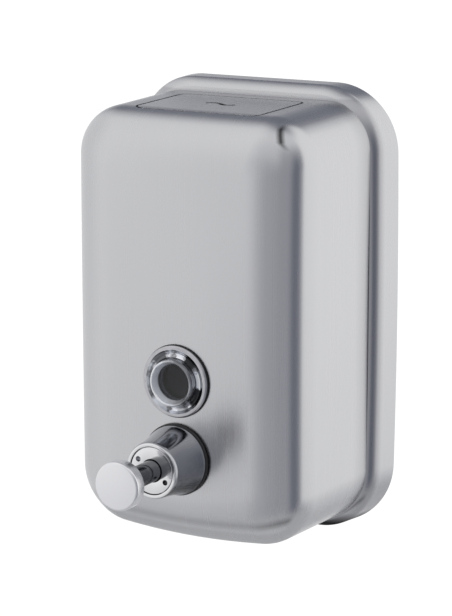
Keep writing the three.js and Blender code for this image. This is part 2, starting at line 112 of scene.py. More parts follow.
def evaluated(piece):
    """Applies the piece's modifiers to its own mesh."""
    graph = bpy.context.evaluated_depsgraph_get()
    mesh = bpy.data.meshes.new_from_object(piece.evaluated_get(graph))
    piece.modifiers.clear()
    piece.data = mesh
    return piece


def boolean(piece, cutter, operation="DIFFERENCE"):
    change = piece.modifiers.new("cut", "BOOLEAN")
    change.operation = operation
    change.solver = "EXACT"
    change.object = cutter
    evaluated(piece)
    bpy.data.objects.remove(cutter)
    return smooth(piece)


def join(name, parts):
    """One object from several that are one piece of metal or plastic."""
    work = bmesh.new()
    for part in parts:
        work.from_mesh(part.data)
        bpy.data.objects.remove(part)
    mesh = bpy.data.meshes.new(name)
    work.to_mesh(mesh)
    work.free()
    return smooth(add_object(name, mesh))


def arc(centre, radius, start, end, steps):
    """Points round a centre, from one angle to another, both in degrees."""
    points = []
    for i in range(steps + 1):
        angle = math.radians(start + (end - start) * i / steps)
        points.append((centre[0] + radius * math.cos(angle), centre[1] + radius * math.sin(angle)))
    return points


def rounded(corners, closed=True, steps=6):
    """The outline through corners of (a, b, radius), each turned with its own radius."""
    points = []
    count = len(corners)
    for i, (a, b, radius) in enumerate(corners):
        here = Vector((a, b))
        if radius <= 0 or (not closed and i in (0, count - 1)):
            points.append((a, b))
            continue
        back = (Vector(corners[i - 1][:2]) - here).normalized()
        ahead = (Vector(corners[(i + 1) % count][:2]) - here).normalized()
        half = back.angle(ahead) / 2
        reach = radius / math.tan(half)
        centre = here + (back + ahead).normalized() * (radius / math.sin(half))
        from_centre = here + back * reach - centre
        turn = from_centre.angle_signed(here + ahead * reach - centre)
        for k in range(steps + 1):
            share = k / steps
            spoke = from_centre.copy()
            spoke.rotate(Matrix.Rotation(-turn * share, 2))
            points.append(tuple(centre + spoke))
    return points


# For each axis: the two directions across it, and the one along it.
TURNS = {
    "X": (Vector((0, 1, 0)), Vector((0, 0, 1)), Vector((1, 0, 0))),
    "Y": (Vector((1, 0, 0)), Vector((0, 0, 1)), Vector((0, 1, 0))),
    "Z": (Vector((1, 0, 0)), Vector((0, 1, 0)), Vector((0, 0, 1))),
}


def revolve(name, profile, centre, steps, axis="Y"):
    """Turns a profile of (radius, position) about the line through centre parallel to an axis.

    The positions are measured along the axis from the origin.
    """
    across, upward, along = TURNS[axis]
    base = across * centre.dot(across) + upward * centre.dot(upward)
    vertices = []
    faces = []
    count = len(profile)
    for i in range(steps):
        turn = 2 * math.pi * i / steps
        spoke = across * math.cos(turn) + upward * math.sin(turn)
        for radius, position in profile:
            vertices.append(base + spoke * radius + along * position)
    for i in range(steps):
        here = i * count
        there = ((i + 1) % steps) * count
        for k in range(count - 1):
            faces.append((here + k, here + k + 1, there + k + 1, there + k))
    return mesh_object(name, vertices, faces)


def extruded(name, loops, axis, start, end, bevel=0.0):
    """A flat outline, with holes in it, drawn out along an axis, with small round edges.

    The loops are (x, z) points for axis Y, (y, z) for axis X and (x, y) for axis Z.
    """
    curve = bpy.data.curves.new(name, "CURVE")
    curve.dimensions = "2D"
    curve.fill_mode = "BOTH"
    curve.extrude = (end - start) / 2 - bevel
    curve.bevel_depth = bevel
    curve.bevel_resolution = 2
    curve.offset = -bevel
    for loop in loops:
        spline = curve.splines.new("POLY")
        spline.points.add(len(loop) - 1)
        for point, (a, b) in zip(spline.points, loop):
            point.co = (a, b, 0, 1)
        spline.use_cyclic_u = True
    flat = add_object(name, curve)
    turns = {
        "X": Matrix(((0, 0, 1), (1, 0, 0), (0, 1, 0))).to_4x4(),
        "Y": Matrix(((1, 0, 0), (0, 0, -1), (0, 1, 0))).to_4x4(),
        "Z": Matrix.Identity(4),
    }
    graph = bpy.context.evaluated_depsgraph_get()
    mesh = bpy.data.meshes.new_from_object(flat.evaluated_get(graph))
    bpy.data.objects.remove(flat)
    mesh.transform(Matrix.Translation(TURNS[axis][2] * (start + end) / 2) @ turns[axis])
    close_up(mesh, 1e-6)
    return smooth(add_object(name, mesh))


def circle(a, b, radius, steps=48):
    return arc((a, b), radius, 0, 360 * (steps - 1) / steps, steps - 1)


def rectangle(a0, a1, b0, b1, radius):
    return rounded([(a0, b0, radius), (a1, b0, radius), (a1, b1, radius), (a0, b1, radius)])


# ---- Materials ----

def connect(tree, value, socket):
    """Links another node's output to a socket, or sets the socket to a number or a colour."""
    if isinstance(value, bpy.types.NodeSocket):
        tree.links.new(value, socket)
    else:
        socket.default_value = (*value, 1) if socket.type == "RGBA" else value


def feed(tree, node, **values):
    """Connects values to a node's sockets, each named with _ for a space."""
    for name, value in values.items():
        connect(tree, value, node.inputs[name.replace("_", " ")])
    return node


def add_node(tree, kind, **values):
    return feed(tree, tree.nodes.new(f"ShaderNode{kind}"), **values)


def start_material(name, color, metallic, roughness, **sockets):
    material = bpy.data.materials.new(name)
    material.use_nodes = True
    tree = material.node_tree
    shader = tree.nodes["Principled BSDF"]
    feed(tree, shader, Base_Color=color, Metallic=metallic, Roughness=roughness, **sockets)
    return material, tree, shader


def noise(tree, scale, detail=3.0, stretch=(1, 1, 1)):
    """Noise in the object's own space, stretched along the axes."""
    spot = add_node(tree, "TexCoord").outputs["Object"]
    mapped = add_node(tree, "Mapping", Vector=spot, Scale=stretch).outputs["Vector"]
    return add_node(tree, "TexNoise", Vector=mapped, Scale=scale, Detail=detail).outputs["Fac"]


def remap(tree, value, low_value, high_value, from_low=0.3, from_high=0.7):
    node = add_node(tree, "MapRange", Value=value, From_Min=from_low, From_Max=from_high,
                    To_Min=low_value, To_Max=high_value)
    return node.outputs["Result"]


def math_node(tree, operation, *values):
    node = add_node(tree, "Math")
    node.operation = operation
    for socket, value in zip(node.inputs, values):
        connect(tree, value, socket)
    return node.outputs["Value"]


def product(tree, a, b):
    return math_node(tree, "MULTIPLY", a, b)


def near(tree, value, target, flat, fade):
    """1 where a value is within flat of its target, falling to 0 at fade from it."""
    away = math_node(tree, "ABSOLUTE", math_node(tree, "SUBTRACT", value, target))
    return remap(tree, away, 1, 0, flat, fade)


def blend_values(tree, share, a, b):
    return add_node(tree, "Mix", Factor=share, A=a, B=b).outputs["Result"]


def tint(tree, value, dark, light):
    """A colour between two, by a value from 0 to 1."""
    ramp = add_node(tree, "ValToRGB", Fac=value)
    ramp.color_ramp.elements[0].color = (*dark, 1)
    ramp.color_ramp.elements[1].color = (*light, 1)
    return ramp.outputs["Color"]


def add_bump(tree, shader, height, strength, distance):
    bump = add_node(tree, "Bump", Height=height, Strength=strength, Distance=distance)
    feed(tree, shader, Normal=bump.outputs["Normal"])


def split_xyz(tree, vector):
    return add_node(tree, "SeparateXYZ", Vector=vector).outputs


def place_along(tree, axis):
    """Where a spot lies along an axis of the object's own space."""
    return split_xyz(tree, add_node(tree, "TexCoord").outputs["Object"])[axis]


def mix_colors(tree, share, a, b):
    node = add_node(tree, "Mix")
    node.data_type = "RGBA"
    connect(tree, share, node.inputs["Factor"])
    connect(tree, a, node.inputs[6])
    connect(tree, b, node.inputs[7])
    return node.outputs[2]


def scale_color(tree, color, amount):
    node = add_node(tree, "VectorMath")
    node.operation = "SCALE"
    feed(tree, node, Vector=color, Scale=amount)
    return node.outputs["Vector"]


def facing(tree):
    """The x, y and z of the way that the surface faces."""
    return split_xyz(tree, add_node(tree, "NewGeometry").outputs["Normal"])


def facing_share(tree, axis, start=0.62, end=0.82):
    """1 where the surface faces along an axis, either way, and 0 where it faces across it."""
    return remap(tree, math_node(tree, "ABSOLUTE", facing(tree)[axis]), 0, 1, start, end)


def edge_wear(tree):
    """1 on the sharpest outside edges, 0 on flats and in hollows."""
    return remap(tree, add_node(tree, "NewGeometry").outputs["Pointiness"], 0, 1, 0.52, 0.62)


def streaks(tree, across, along, detail):
    """Brush marks: up and down the walls, and fore and aft over the top and bottom."""
    return blend_values(tree, facing_share(tree, "X"),
                        noise(tree, 1.0, detail, (across, along, along)),
                        noise(tree, 1.0, detail, (along, across, along)))


def constant_vector(tree, axis):
    return add_node(tree, "CombineXYZ", **{axis: 1}).outputs["Vector"]


def crease_and_underside_shade(tree):
    """Shares of painted shade along the crease behind the tank, and of painted shade under the pan."""
    depth = place_along(tree, "Y")
    rise = remap(tree, depth, 0, 1, -30 * MM, -15 * MM)
    fall = remap(tree, depth, 1, 0, -12.5 * MM, -9.5 * MM)
    below = remap(tree, place_along(tree, "Z"), 0.42, 0, 100.2 * MM, 101.2 * MM)
    # Painted shade: up to 0.42 of a dark grey along the crease behind the tank, below the tank's top.
    dull = product(tree, product(tree, rise, fall), below)
    # The second share is painted shade: near black on the pan behind its front face, strongest at its
    # bottom.
    behind = remap(tree, depth, 0, 1, -17 * MM, -16 * MM)
    under = remap(tree, place_along(tree, "Z"), 0.95, 0, -105.5 * MM, -99 * MM)
    return dull, product(tree, behind, under)


def painted_reflection_bands(tree):
    """Painted reflections, told by the way that the surface faces.

    Where the front turns under there is a painted dark line and then a painted bright one, and at the
    top right corner of the tank a short painted dark stripe.
    """
    across, ahead, up = facing(tree)
    depth = remap(tree, across, 0.14, 0.5, 0, 0.5)
    # line is a painted dark reflection, and band a painted bright one below it.
    line = product(tree, near(tree, up, -0.38, 0, 0.09), depth)
    band = product(tree, near(tree, up, -0.52, 0, 0.07), 0.12)
    fronting = remap(tree, ahead, 1, 0, -0.66, -0.56)
    change = product(tree, math_node(tree, "SUBTRACT", band, line), fronting)
    course = math_node(tree, "SUBTRACT", remap(tree, up, 0.57, 0.45, 0.36, 0.48),
                       remap(tree, up, 0, 0.06, 0.5, 0.74))
    start = remap(tree, up, 0, 1, 0.36, 0.5)
    end = remap(tree, up, 1, 0, 0.76, 0.86)
    # Painted dark reflection: a short stripe at the top right corner, on the tank only.
    corner = product(tree, near(tree, across, course, 0.01, 0.085), product(tree, start, end))
    tank = remap(tree, place_along(tree, "Y"), -0.86, 0, -60 * MM, -50 * MM)
    painted_corner_stripe = math_node(tree, "MULTIPLY_ADD", corner, tank, 1.0)
    return math_node(tree, "ADD", change, painted_corner_stripe)


def offsets_from(tree, centre):
    """A spot's x and z, measured from a line through centre parallel to Y."""
    x = math_node(tree, "SUBTRACT", place_along(tree, "X"), centre.x)
    z = math_node(tree, "SUBTRACT", place_along(tree, "Z"), centre.z)
    return x, z


def distance_from(tree, centre):
    """How far a spot is from a line through centre parallel to Y."""
    x, z = offsets_from(tree, centre)
    square = math_node(tree, "MULTIPLY_ADD", x, x, product(tree, z, z))
    return math_node(tree, "SQRT", square)


def painted_reflections(tree, centre, stops):
    """Painted reflections: light and dark patches by angle round a line through centre parallel to Y.
    """
    x, z = offsets_from(tree, centre)
    turn = math_node(tree, "ARCTAN2", z, x)
    wander = math_node(tree, "MULTIPLY_ADD", noise(tree, 500.0, 2.0), 0.5, -0.25)
    share = remap(tree, math_node(tree, "ADD", turn, wander), 0, 1, -math.pi, math.pi)
    ramp = add_node(tree, "ValToRGB", Fac=share)
    ramp.color_ramp.interpolation = "EASE"
    points = ramp.color_ramp.elements
    for angle, level in stops:
        points.new((angle + 180) / 360).color = (0.98 * level, level, 1.06 * level, 1)
    points[0].color = points[1].color
    points[len(points) - 1].color = points[1].color
    return ramp.outputs["Color"]


# Painted reflections as (turn in degrees from +X, brightness): light and dark patches down the
# flanks of the valve, and round the dish of the window and the rim of its lens.
FLANK_GLEAMS = [
    (-150, 0.42), (-105, 0.34), (-80, 0.1), (-40, 0.08), (-14, 0.36), (20, 0.5), (55, 0.46),
    (90, 0.36), (120, 0.44),
]
DISH_GLEAMS = [
    (-172, 0.5), (-150, 0.12), (-135, 0.75), (-112, 0.5), (-104, 0.15), (-96, 0.8), (-78, 0.45),
    (-66, 0.2), (-56, 0.7), (-44, 0.05), (-14, 0.04), (-8, 1.0), (24, 1.0), (31, 0.3), (44, 0.04),
    (62, 0.04), (70, 0.9), (84, 0.8), (92, 0.25), (103, 0.75), (112, 0.14), (143, 0.16), (152, 0.6),
    (170, 0.22),
]
RIM_GLEAMS = [
    (-150, 1.0), (-118, 0.95), (-92, 0.75), (-70, 0.4), (-40, 0.2), (-8, 0.45), (30, 0.3), (72, 0.25),
    (98, 0.5), (125, 0.9), (150, 1.0),
]


def brushed_steel():
    """Stainless sheet, brushed up and down its walls and fore and aft over its top."""
    material, tree, shader = start_material(
        "brushed_steel", (0.62, 0.62, 0.63), 1.0, 0.26, Anisotropic=0.5)
    fine = streaks(tree, 1500, 9, 1.0)
    broad = streaks(tree, 420, 4, 2.0)
    cloud = noise(tree, 16.0, 3.0)
    grain = blend_values(tree, remap(tree, cloud, 0.35, 0.65), fine, broad)
    patch = noise(tree, 22.0, 2.0, (1, 1, 0.5))
    shade = math_node(tree, "MULTIPLY_ADD", patch, 0.5, product(tree, grain, 0.5))
    color = tint(tree, remap(tree, shade, 0, 1, 0.3, 0.7), (0.608, 0.61, 0.624), (0.638, 0.64, 0.654))
    # Painted shade: a dark grey in the crease behind the tank, and near black, rougher, under the pan.
    dull, painted_underside_shade = crease_and_underside_shade(tree)
    color = mix_colors(tree, dull, color, (0.3, 0.3, 0.32))
    color = mix_colors(tree, painted_underside_shade, color, (0.01, 0.01, 0.012))
    rough = remap(tree, grain, 0.245, 0.285, 0.25, 0.75)
    # Painted reflections scale the colour: bands where the front turns under, and a dark stripe at the
    # top right corner.
    feed(tree, shader, Base_Color=scale_color(tree, color, painted_reflection_bands(tree)),
         Roughness=math_node(tree, "MULTIPLY_ADD", painted_underside_shade, 0.6, rough))
    add_bump(tree, shader, broad, 0.006, 0.00004)
    direction = add_node(tree, "Mix")
    direction.data_type = "VECTOR"
    connect(tree, facing_share(tree, "Z"), direction.inputs["Factor"])
    connect(tree, constant_vector(tree, "Z"), direction.inputs[4])
    connect(tree, constant_vector(tree, "Y"), direction.inputs[5])
    feed(tree, shader, Tangent=direction.outputs[1])
    return material


def chrome():
    """Polished plating with faint smears, rougher down the flanks, whose colour is painted
    reflections.
    """
    material, tree, shader = start_material("chrome", (0.8, 0.8, 0.81), 1.0, 0.07)
    smear = noise(tree, 90.0, 4.0, (1, 1, 2))
    face = facing_share(tree, "Y", 0.3, 0.8)
    radius = distance_from(tree, middle("valve_body"))
    # Painted reflections on the flanks, by angle round the valve's axis, darker inside 6 mm: the stem.
    stem = remap(tree, radius, 0.4, 1, 5.8 * MM, 6.4 * MM)
    flank = scale_color(tree, painted_reflections(tree, middle("valve_body"), FLANK_GLEAMS), stem)
    front = tint(tree, smear, (0.77, 0.77, 0.78), (0.83, 0.83, 0.84))
    rough = math_node(tree, "MULTIPLY_ADD", face, -0.05, remap(tree, smear, 0.1, 0.17))
    feed(tree, shader, Base_Color=mix_colors(tree, face, flank, front), Roughness=rough)
    return material


def satin_chrome():
    """Fine turned face, plated: softer than chrome."""
    material, tree, shader = start_material("satin_chrome", (0.83, 0.83, 0.84), 1.0, 0.26)
    cloud = noise(tree, 120.0, 3.0)
    feed(tree, shader, Base_Color=tint(tree, cloud, (0.8, 0.8, 0.82), (0.86, 0.86, 0.88)),
         Roughness=remap(tree, cloud, 0.22, 0.27))
    add_bump(tree, shader, cloud, 0.01, 0.00003)
    return material


def satin_steel():
    """Turned and dulled flat ring, mottled with tarnish, round a polished dish coloured with painted
    reflections.
    """
    material, tree, shader = start_material("satin_steel", (0.4, 0.4, 0.41), 1.0, 0.36)
    mottle = noise(tree, 420.0, 4.0)
    cloud = noise(tree, 130.0, 3.0)
    shade = math_node(tree, "MULTIPLY_ADD", mottle, 0.5, product(tree, cloud, 0.5))
    dull = tint(tree, remap(tree, shade, 0, 1, 0.36, 0.64), (0.5, 0.5, 0.52), (0.62, 0.62, 0.64))
    # Painted reflections: light and dark patches round the dish, by angle round the window's axis.
    bright = painted_reflections(tree, middle("window_bezel"), DISH_GLEAMS)
    flat = remap(tree, distance_from(tree, middle("window_bezel")), 0, 1, 15.0 * MM, 15.3 * MM)
    feed(tree, shader, Base_Color=mix_colors(tree, flat, bright, dull),
         Roughness=math_node(tree, "MULTIPLY_ADD", flat, 0.28, 0.06))
    add_bump(tree, shader, mottle, 0.06, 0.00004)
    return material


def zinc_plate():
    """Dull plated steel with a cloudy surface."""
    material, tree, shader = start_material("zinc_plate", (0.52, 0.53, 0.54), 1.0, 0.42)
    cloud = noise(tree, 150.0, 5.0)
    plating = tint(tree, cloud, (0.44, 0.45, 0.46), (0.6, 0.61, 0.62))
    worn = edge_wear(tree)
    rough = math_node(tree, "MULTIPLY_ADD", worn, -0.12, remap(tree, cloud, 0.34, 0.5))
    feed(tree, shader, Base_Color=mix_colors(tree, worn, plating, (0.7, 0.69, 0.67)), Roughness=rough)
    add_bump(tree, shader, noise(tree, 1500.0, 2.0), 0.12, 0.00004)
    return material


def black_rubber():
    material, tree, shader = start_material("black_rubber", (0.018, 0.018, 0.02), 0.0, 0.55)
    cloud = noise(tree, 400.0, 4.0)
    feed(tree, shader, Base_Color=tint(tree, cloud, (0.014, 0.014, 0.016), (0.03, 0.03, 0.032)),
         Roughness=remap(tree, cloud, 0.45, 0.65))
    add_bump(tree, shader, noise(tree, 2200.0, 2.0), 0.1, 0.00003)
    return material


def clear_plastic():
    """Moulded acrylic: clear in the middle, with a milky rim coloured with painted reflections."""
    material, tree, shader = start_material(
        "clear_plastic", (0.6, 0.62, 0.66), 0.0, 0.04, IOR=1.45, Transmission_Weight=1.0,
        Specular_IOR_Level=0.12)
    smear = noise(tree, 160.0, 3.0)
    radius = distance_from(tree, middle("window_lens"))
    rim = remap(tree, radius, 0, 1, 8.3 * MM, 8.6 * MM)
    clear = tint(tree, smear, (0.13, 0.14, 0.18), (0.2, 0.21, 0.26))
    # Painted reflections: light and dark patches on the rim, by angle round the lens's axis.
    bright = painted_reflections(tree, middle("window_lens"), RIM_GLEAMS)
    crest = remap(tree, radius, 0, 0.75, 9.6 * MM, 9.9 * MM)
    feed(tree, shader, Base_Color=mix_colors(tree, rim, clear, bright),
         Transmission_Weight=math_node(tree, "MULTIPLY_ADD", rim, -0.85, 1.0),
         Metallic=crest, Roughness=remap(tree, smear, 0.02, 0.07))
    return material


def grey_plastic():
    material, tree, shader = start_material("grey_plastic", (0.7, 0.7, 0.68), 0.0, 0.45)
    cloud = noise(tree, 260.0, 3.0)
    feed(tree, shader, Base_Color=tint(tree, cloud, (0.64, 0.64, 0.62), (0.74, 0.74, 0.72)))
    add_bump(tree, shader, noise(tree, 1800.0, 2.0), 0.1, 0.00004)
    return material


LOOKS = {look.__name__: look() for look in (
    brushed_steel, chrome, satin_chrome, satin_steel, zinc_plate, black_rubber, clear_plastic,
    grey_plastic)}
SLOTS = {row["node"]: row["material_slot"] for row in frame["record"]["subparts"]}


def show(piece, node, body="housing"):
    """Gives the piece that stands for a node its body and the material its record names."""
    slot = SLOTS[node]
    piece.data.materials.clear()
    piece.data.materials.append(LOOKS[slot])
    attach(piece, body)
    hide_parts(node)
    return piece


# ---- Drawn sheet: shell, pan and lid ----

class Drawn:
    """A drawn sheet body: a rounded rectangle seen from the front, with a soft front edge.

    The edge is reach wide on the front and edge deep down the walls, and its fullness is 2 for
    a plain ellipse; more makes it start and end more gently.
    """

    def __init__(self, node, top_radius, bottom_radius, side_bow, bottom_bow, edge, reach,
                 fullness, side_draft, top_draft, crown):
        lowest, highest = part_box(node)
        self.front = lowest.y
        self.rear = highest.y
        self.half_width = highest.x - side_bow
        self.half_height = (highest.z - lowest.z - bottom_bow) / 2
        self.centre_z = highest.z - self.half_height
        self.top_radius = top_radius
        self.bottom_radius = bottom_radius
        self.side_bow = side_bow
        self.bottom_bow = bottom_bow
        self.edge = edge
        self.reach = reach
        self.fullness = fullness
        self.side_draft = side_draft
        self.top_draft = top_draft
        self.crown = crown

    def outline(self, inset, corner_steps=28, straight_steps=14):
        """(x, z) points round the body, set in by a distance, before the centre is added."""
        width = self.half_width - inset
        height = self.half_height - inset
        left = max(0.12, 1 - 0.88 * inset / max(self.reach, self.top_radius))
        top = self.top_radius * left
        bottom = self.bottom_radius * left
        corners = [(1, -1, -90, bottom), (1, 1, 0, top), (-1, 1, 90, top), (-1, -1, 180, bottom)]
        points = []
        for i, (sx, sz, start, radius) in enumerate(corners):
            centre = (sx * (width - radius), sz * (height - radius))
            points += arc(centre, radius, start, start + 90, corner_steps)
            nx, nz, turn, spread = corners[(i + 1) % 4]
            ahead = arc((nx * (width - spread), nz * (height - spread)), spread, turn, turn, 1)[0]
            here = points[-1]
            for k in range(1, straight_steps):
                share = k / straight_steps
                points.append(tuple(Vector(here).lerp(Vector(ahead), share)))
        bowed = []
        for x, z in points:
            across = 1 - (x / width) ** 2
            upright = 1 - (z / height) ** 2
            hang = self.bottom_bow * across if z < 0 else 0
            bowed.append((x + math.copysign(self.side_bow * upright, x), z - hang))
        return bowed

    def spot(self, x, z, y):
        """A point of the surface: leaned in towards the front and crowned over the front."""
        forward = min((self.rear - y) / (self.rear - self.front - self.edge), 1)
        px = x * (1 - self.side_draft * forward / self.half_width)
        pz = z * (1 - self.top_draft * forward / self.half_height)
        fronting = max(0, (self.front + self.edge - y) / self.edge)
        away = (px / self.half_width) ** 2 + 0.6 * (pz / self.half_height) ** 2
        back = self.crown * fronting * away
        return (px, y + back, pz + self.centre_z)

    def skin(self, depth, walls=12, edge_steps=28):
        """Rings from the rear edge to the middle of the front, at a depth below the surface."""
        edge = self.edge - depth
        reach = self.reach - depth
        front = self.front + depth
        rings = []
        for i in range(walls):
            y = self.rear + (front + edge - self.rear) * i / walls
            rings.append([self.spot(x, z, y) for x, z in self.outline(depth)])
        for i in range(edge_steps + 1):
            angle = math.pi / 2 * i / edge_steps
            inward = reach * (1 - math.cos(angle) ** (2 / self.fullness))
            y = front + edge * (1 - math.sin(angle) ** (2 / self.fullness))
            rings.append([self.spot(x, z, y) for x, z in self.outline(depth + inward)])
        last = self.outline(depth + reach)
        for share in (0.9, 0.75, 0.55, 0.35, 0.18, 0.05):
            rings.append([self.spot(x * share, z * share, front) for x, z in last])
        return rings


def loft(name, rings):
    """A closed surface through rings that all have the same number of points."""
    count = len(rings[0])
    vertices = [point for ring in rings for point in ring]
    faces = []
    for i in range(len(rings) - 1):
        for k in range(count):
            after = (k + 1) % count
            here = i * count
            there = here + count
            faces.append((here + k, here + after, there + after, there + k))
    faces.append(tuple(range(count)))
    faces.append(tuple(range((len(rings) - 1) * count, len(rings) * count)))
    return mesh_object(name, vertices, faces)


def sheet_body(name, body, depth=SHEET, outer_depth=0.0):
    """The sheet between two depths below a drawn body's surface, open at its rear."""
    return loft(name, body.skin(depth)[::-1] + body.skin(outer_depth))


shell_form = Drawn("front_shell", top_radius=22.5 * MM, bottom_radius=24.5 * MM, side_bow=0,
                   bottom_bow=5 * MM, edge=22.5 * MM, reach=26 * MM, fullness=2.35,
                   side_draft=1.15 * MM, top_draft=1.15 * MM, crown=1.3 * MM)
pan_form = Drawn("back_pan", top_radius=31.5 * MM, bottom_radius=32.8 * MM, side_bow=1.4 * MM,
                 bottom_bow=0.3 * MM, edge=5.8 * MM, reach=4.3 * MM, fullness=1.35,
                 side_draft=2.7 * MM, top_draft=0, crown=0)

WINDOW_HOLE = 15.5 * MM
VALVE_HOLE = 10.3 * MM
FRONT_SLOT = 0.9 * MM
SIDE_SLOT = 1.1 * MM
REAR_SLOT = 0.9 * MM
KEY_WIDTH = 2.4 * MM
KEY_MIDDLE = -47.3 * MM
KEY_HALF_LENGTH = 8 * MM
KEY_SWING = 2.2 * MM


def lid_outline(sides, front, rear):
    """The lid seen from above, grown or shrunk at its sides, front and rear."""
    lowest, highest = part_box("filler_lid")
    corner = 4 * MM + sides
    return rectangle(lowest.x - sides, highest.x + sides, lowest.y - front, highest.y + rear, corner)


def front_shell():
    shell = sheet_body("front_shell_body", shell_form)
    window = middle("window_bezel")
    valve = middle("valve_body")
    hole = (shell_form.front - 0.01, shell_form.front + 0.02)
    shell = boolean(shell, extruded("w", [circle(window.x, window.z, WINDOW_HOLE, 96)], "Y", *hole))
    shell = boolean(shell, extruded("v", [circle(valve.x, valve.z, VALVE_HOLE, 72)], "Y", *hole))
    opening = extruded("o", [lid_outline(SIDE_SLOT, FRONT_SLOT, REAR_SLOT)], "Z", *THROUGH_TOP)
    return boolean(shell, opening)


def squiggle(steps=32):
    """The key slot: a flat S drawn as a strip."""
    spine = []
    for i in range(steps + 1):
        t = -1 + 2 * i / steps
        swing = KEY_SWING * math.sin(math.pi * t) * (1 - 0.25 * t * t)
        spine.append(Vector((KEY_HALF_LENGTH * t, KEY_MIDDLE - swing)))
    left, right = [], []
    for i, spot in enumerate(spine):
        along = (spine[min(i + 1, steps)] - spine[max(i - 1, 0)]).normalized()
        side = Vector((-along.y, along.x)) * KEY_WIDTH / 2
        left.append(tuple(spot + side))
        right.append(tuple(spot - side))
    return left + right[::-1]


def filler_lid():
    lid = sheet_body("filler_lid_plate", shell_form)
    outline = lid_outline(-0.2 * MM, 0, 0)
    lid = boolean(lid, extruded("p", [outline], "Z", *THROUGH_TOP), "INTERSECT")
    return boolean(lid, extruded("k", [squiggle()], "Z", *THROUGH_TOP))


def back_pan():
    pan = sheet_body("back_pan_tray", pan_form)
    lock = middle("lock_screw")
    bottom = low("back_pan").z
    hole = circle(lock.x, lock.y, 2.4 * MM)
    return boolean(pan, extruded("h", [hole], "Z", bottom - 0.01, bottom + 0.01))


show(front_shell(), "front_shell")
show(back_pan(), "back_pan")
show(filler_lid(), "filler_lid", "lid")


# ---- Sight window ----

def window_bezel():
    """A flanged tube with a dished, polished groove round the lens."""
    lowest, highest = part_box("window_bezel")
    front, rear = lowest.y, highest.y
    flange = highest.x
    flange_rear = low("window_gasket").y - 0.15 * MM
    seat = high("window_lens").y - 2.1 * MM
    bore = high("window_lens").x + 0.2 * MM
    hole = 11.4 * MM
    dish = 15.1 * MM
    tube = 15.2 * MM
    groove = []
    steps = 16
    for i in range(steps + 1):
        share = i / steps
        depth = 0.45 * share + 1.1 * math.sin(math.pi * share) ** 0.8
        groove.append((dish + (hole - dish) * share, front + depth * MM, 0))
    profile = rounded([
        *groove[::-1], (flange - 0.5 * MM, front, 0.3 * MM), (flange, front + 0.5 * MM, 0.25 * MM),
        (flange, flange_rear, 0.2 * MM), (tube, flange_rear, 0), (tube, rear, 0.3 * MM),
        (bore, rear, 0.2 * MM), (bore, seat, 0), (hole, seat, 0.2 * MM),
    ])
    return revolve("window_bezel_ring", profile + profile[:1], middle("window_bezel"), 144)


def window_lens():
    """A clear cup with a raised round rim, a sunk flat inside it and a flange behind."""
    lowest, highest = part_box("window_lens")
    flange = highest.x
    rim, rear = lowest.y, highest.y
    floor = rim + 3.8 * MM
    side = 11.2 * MM
    profile = rounded([
        (0, floor, 0), (8.4 * MM, floor, 0.5 * MM), (8.8 * MM, floor - 1.4 * MM, 1.2 * MM),
        (9.9 * MM, rim + 0.1 * MM, 0.7 * MM), (10.8 * MM, rim + 0.2 * MM, 0.6 * MM),
        (side, rim + 1.6 * MM, 1.0 * MM), (side, rear - 1.8 * MM, 0),
        (flange, rear - 1.8 * MM, 0.3 * MM), (flange, rear, 0.3 * MM), (0, rear, 0),
    ], closed=False)
    return revolve("window_lens_cup", profile, middle("window_lens"), 144)


def soft_ring(name, node, inner, fillet):
    """A flat ring with rounded edges in the place of a node."""
    lowest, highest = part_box(node)
    profile = rounded([
        (inner, lowest.y, fillet), (highest.x, lowest.y, fillet),
        (highest.x, highest.y, fillet), (inner, highest.y, fillet),
    ])
    return revolve(name, profile + profile[:1], middle(node), 96)


show(window_bezel(), "window_bezel")
show(window_lens(), "window_lens")
show(soft_ring("window_gasket_ring", "window_gasket", 15.4 * MM, 0.35 * MM), "window_gasket")


# ---- Push valve ----

VALVE_AXIS = middle("valve_body")


def valve_body():
    lowest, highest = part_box("valve_body")
    mouth, tube_rear = lowest.y, highest.y
    base = highest.x
    base_y = low("valve_gasket").y - 0.1 * MM
    lip = 13.3 * MM
    straight = 1 * MM
    recess = high("retaining_ring").x + 0.25 * MM
    bore = 8.5 * MM
    recess_floor = high("retaining_ring").y + 0.3 * MM
    tube = 10 * MM
    flare = []
    steps = 16
    for i in range(steps + 1):
        share = i / steps
        y = mouth + straight + (base_y - straight - mouth - straight) * share
        flare.append((lip + (base - lip) * (0.45 * share + 0.55 * share ** 2.2), y, 0))
    profile = rounded([
        (recess, mouth, 0.25 * MM), (lip - 0.5 * MM, mouth, 0.4 * MM), *flare,
        (base, base_y, 0.3 * MM), (tube, base_y, 0), (tube, tube_rear, 0.4 * MM),
        (bore, tube_rear, 0), (bore, recess_floor, 0), (recess, recess_floor, 0),
    ])
    body = revolve("valve_body_turned", profile + profile[:1], VALVE_AXIS, 144)
    outlet = extruded("outlet", [circle(0, -98 * MM, 2.6 * MM)], "Z", VALVE_AXIS.z - 0.025,
                      VALVE_AXIS.z - 0.004)
    return boolean(body, outlet)


def retaining_ring():
    """The disc in the valve's mouth, with two holes for a pin spanner."""
    lowest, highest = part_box("retaining_ring")
    outer = highest.x
    inner = 5.3 * MM
    pin_circle = 8.5 * MM
    profile = rounded([
        (inner, lowest.y, 0.35 * MM), (outer, lowest.y, 0.35 * MM), (outer, highest.y, 0.2 * MM),
        (inner, highest.y, 0.2 * MM),
    ])
    disc = revolve("retaining_ring_disc", profile + profile[:1], VALVE_AXIS, 128)
    for turn in (147, 327):
        angle = math.radians(turn)
        x = pin_circle * math.cos(angle)
        z = VALVE_AXIS.z + pin_circle * math.sin(angle)
        hole = circle(x, z, 1.3 * MM)
        disc = boolean(disc, extruded("pin", [hole], "Y", lowest.y - MM, lowest.y + 2.7 * MM))
    return disc


